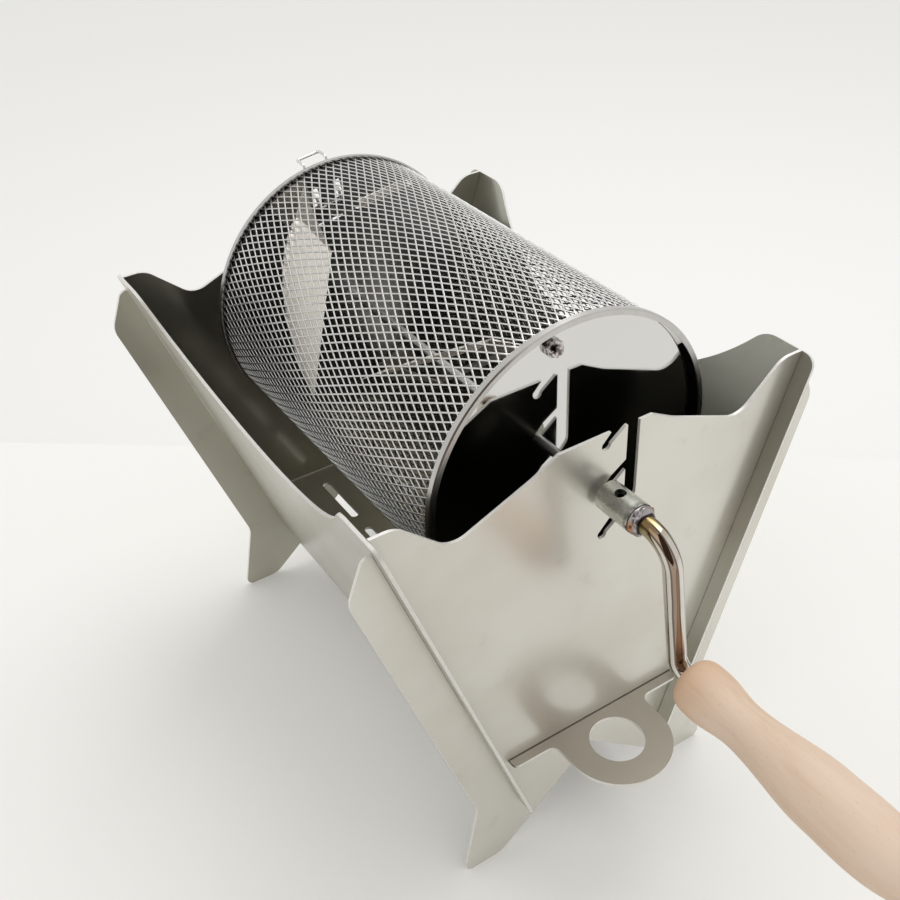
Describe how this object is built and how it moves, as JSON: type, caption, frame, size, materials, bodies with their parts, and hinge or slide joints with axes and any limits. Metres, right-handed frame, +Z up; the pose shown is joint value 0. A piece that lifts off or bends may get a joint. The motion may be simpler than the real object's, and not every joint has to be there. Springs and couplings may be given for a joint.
{
  "type": "stovetop coffee bean roaster",
  "caption": "Hand cranked mesh drum for roasting coffee beans, turning in hook seats of a slotted sheet steel stand with a pull-out floor plate; turned wooden grip.",
  "frame": {"origin": "on the surface that the roaster stands on, midway between its four feet", "axes": "+Z up; +Y along the drum's shaft, away from the crank; +X to the right for someone at the crank"},
  "size_m": [0.2396, 0.4299, 0.2767],
  "materials": {
    "stand_sheet": "cold rolled stainless sheet with a soft mill finish",
    "drum_mesh": "stainless diamond mesh, bright",
    "drum_sheet": "mirror polished stainless sheet",
    "rim_sheet": "rolled stainless strip, softly bright",
    "vane_sheet": "thin stainless sheet, satin",
    "shaft_steel": "drawn steel rod",
    "fastener_steel": "zinc plated fasteners",
    "socket_steel": "dull galvanised steel",
    "weld": "weld bead with heat tint",
    "crank_rod": "polished stainless rod, straw heat tint at the weld",
    "spring_wire": "bright spring wire",
    "raw_wood": "turned pale hardwood, unvarnished"
  },
  "bodies": {
    "stand": {"front_end_plate": "stand_sheet", "rear_end_plate": "stand_sheet", "right_side_wall": "stand_sheet", "left_side_wall": "stand_sheet"},
    "floor": {"floor_plate": "stand_sheet"},
    "drum": {"drum_shaft": "shaft_steel", "drum_mesh": "drum_mesh", "front_hoop": "rim_sheet", "rear_hoop": "rim_sheet", "front_disc": "drum_sheet", "rear_disc": "drum_sheet", "front_hub": "shaft_steel", "rear_hub": "shaft_steel", "rear_collar": "shaft_steel", "front_vane_upper": "vane_sheet", "front_vane_lower": "vane_sheet", "rear_vane_upper": "vane_sheet", "rear_vane_lower": "vane_sheet", "front_vane_bolts": "fastener_steel", "front_vane_nuts": "fastener_steel", "hinge_leaf": "vane_sheet", "door_hinge_pin": "shaft_steel", "hinge_rivets": "fastener_steel", "crank_socket": "socket_steel", "set_screw": "fastener_steel", "weld_bead": "weld", "crank_rod": "crank_rod", "grip_retaining_ring": "fastener_steel"},
    "door": {"rear_door": "drum_sheet", "latch_strap": "spring_wire"},
    "latch": {"latch_wire": "spring_wire"},
    "grip": {"wooden_grip": "raw_wood"}
  },
  "joints": [
    {"name": "drum_spin", "type": "hinge", "parent": "stand", "child": "drum", "pos_m": [0, 0, 0.202], "axis": [0, 1, 0], "continuous": true},
    {"name": "grip_spin", "type": "hinge", "parent": "drum", "child": "grip", "pos_m": [0.0109, -0.235, 0.12679], "axis": [0, 1, 0], "continuous": true},
    {"name": "door_swing", "type": "hinge", "parent": "drum", "child": "door", "pos_m": [-0.00626, 0.0949, 0.24515], "axis": [-0.9897, 0, -0.1435], "range_deg": [0, 32]},
    {"name": "latch_press", "type": "slide", "parent": "door", "child": "latch", "axis": [0.1435, 0, -0.9897], "range_m": [0, 0.0025], "stiffness_N_per_m": 400},
    {"name": "floor_slide", "type": "slide", "parent": "stand", "child": "floor", "axis": [0, -1, 0], "range_m": [0, 0.2]}
  ]
}
